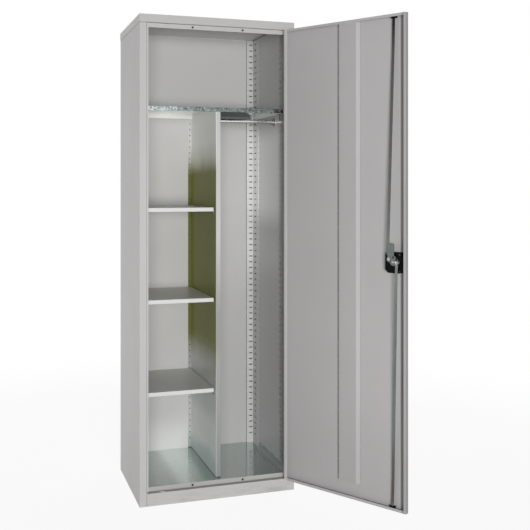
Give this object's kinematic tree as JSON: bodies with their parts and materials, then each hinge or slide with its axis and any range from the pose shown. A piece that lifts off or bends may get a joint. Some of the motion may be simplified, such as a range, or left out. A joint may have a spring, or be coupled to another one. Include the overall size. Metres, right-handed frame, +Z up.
{
  "type": "locker",
  "caption": "Tall steel clothes locker with a hinged door shown open, rod lock, top shelf, divider, half shelves on one side and a hanging rail on the other.",
  "frame": {"origin": "centre of the footprint at floor level, on the underside of the channel below the floor pan", "axes": "+X across the front to the right, towards the hinged side; +Y from the front to the back; +Z up"},
  "size_m": [0.8577, 0.942, 1.83],
  "materials": {
    "paint": "light grey satin powder coat",
    "paint_side": "light grey satin powder coat, on the outer sides and the door",
    "paint_shelf": "pale grey satin powder coat",
    "galvanised": "galvanised steel with a faint spangle",
    "zinc": "zinc-plated steel, dull",
    "black_plastic": "black moulded plastic",
    "black_rubber": "black rubber"
  },
  "bodies": {
    "carcass": {"left_side_panel": "paint_side", "right_side_panel": "paint_side", "left_door_stop": "paint", "right_door_stop": "paint", "left_inner_panel": "paint", "right_inner_panel": "paint", "left_rear_upright": "paint", "right_rear_upright": "paint", "back_panel": "paint", "back_rivets": "zinc", "top_cap": "paint", "top_front_rail": "paint", "bottom_front_rail": "paint", "plinth_front": "paint", "base_channel": "galvanised", "base_rear_rail": "galvanised", "floor_pan": "galvanised", "door_buffers": "black_rubber", "top_shelf": "galvanised", "top_shelf_clips": "zinc", "shelf_upper": "paint_shelf", "shelf_upper_clips": "zinc", "shelf_middle": "paint_shelf", "shelf_middle_clips": "zinc", "shelf_lower": "paint_shelf", "shelf_lower_clips": "zinc", "divider": "galvanised", "hanging_rail": "zinc", "rail_socket_left": "zinc", "rail_socket_right": "zinc", "rail_socket_screws": "zinc", "hinge_frame_leaf_top": "paint", "hinge_frame_leaf_middle": "paint", "hinge_frame_leaf_bottom": "paint", "hinge_pin_top": "zinc", "hinge_pin_middle": "zinc", "hinge_pin_bottom": "zinc"},
    "door": {"hinge_door_leaf_top": "paint", "hinge_door_leaf_middle": "paint", "hinge_door_leaf_bottom": "paint", "door_skin": "paint_side", "door_stiffener": "paint_side", "upper_rod_guide": "black_plastic", "lower_rod_guide": "black_plastic", "handle_housing": "black_plastic", "housing_screws": "zinc"},
    "handle": {"handle_grip": "black_plastic", "handle_spindle": "zinc", "cam_plate": "zinc", "cam_nut": "zinc", "crank_pins": "zinc"},
    "lock_barrel": {"lock_barrel": "zinc"},
    "upper_rod": {"upper_link": "zinc", "upper_rod": "zinc"},
    "lower_rod": {"lower_rod": "zinc"}
  },
  "joints": [
    {"name": "door_hinge", "type": "hinge", "parent": "carcass", "child": "door", "pos_m": [0.2745, -0.2325, 0.923], "axis": [0, 0, 1], "range_deg": [-121, 59]},
    {"name": "handle_turn", "type": "hinge", "parent": "door", "child": "handle", "pos_m": [0.52876, -0.66537, 0.928], "axis": [0.8572, 0.515, 0], "range_deg": [0, 90]},
    {"name": "upper_rod_pivot", "type": "hinge", "parent": "handle", "child": "upper_rod", "pos_m": [0.49849, -0.66547, 0.93334], "axis": [0.8572, 0.515, 0], "range_deg": [-92, 0]},
    {"name": "lower_rod_pivot", "type": "hinge", "parent": "handle", "child": "lower_rod", "pos_m": [0.51446, -0.69206, 0.92266], "axis": [0.8572, 0.515, 0], "range_deg": [-92, 0]},
    {"name": "lock_turn", "type": "hinge", "parent": "handle", "child": "lock_barrel", "pos_m": [0.52876, -0.66537, 0.928], "axis": [0.8572, 0.515, 0], "range_deg": [0, 90]}
  ],
  "couplings": [
    {"joint": "upper_rod_pivot", "follows": "handle_turn", "ratio": -1.0154},
    {"joint": "lower_rod_pivot", "follows": "handle_turn", "ratio": -1.0152}
  ]
}
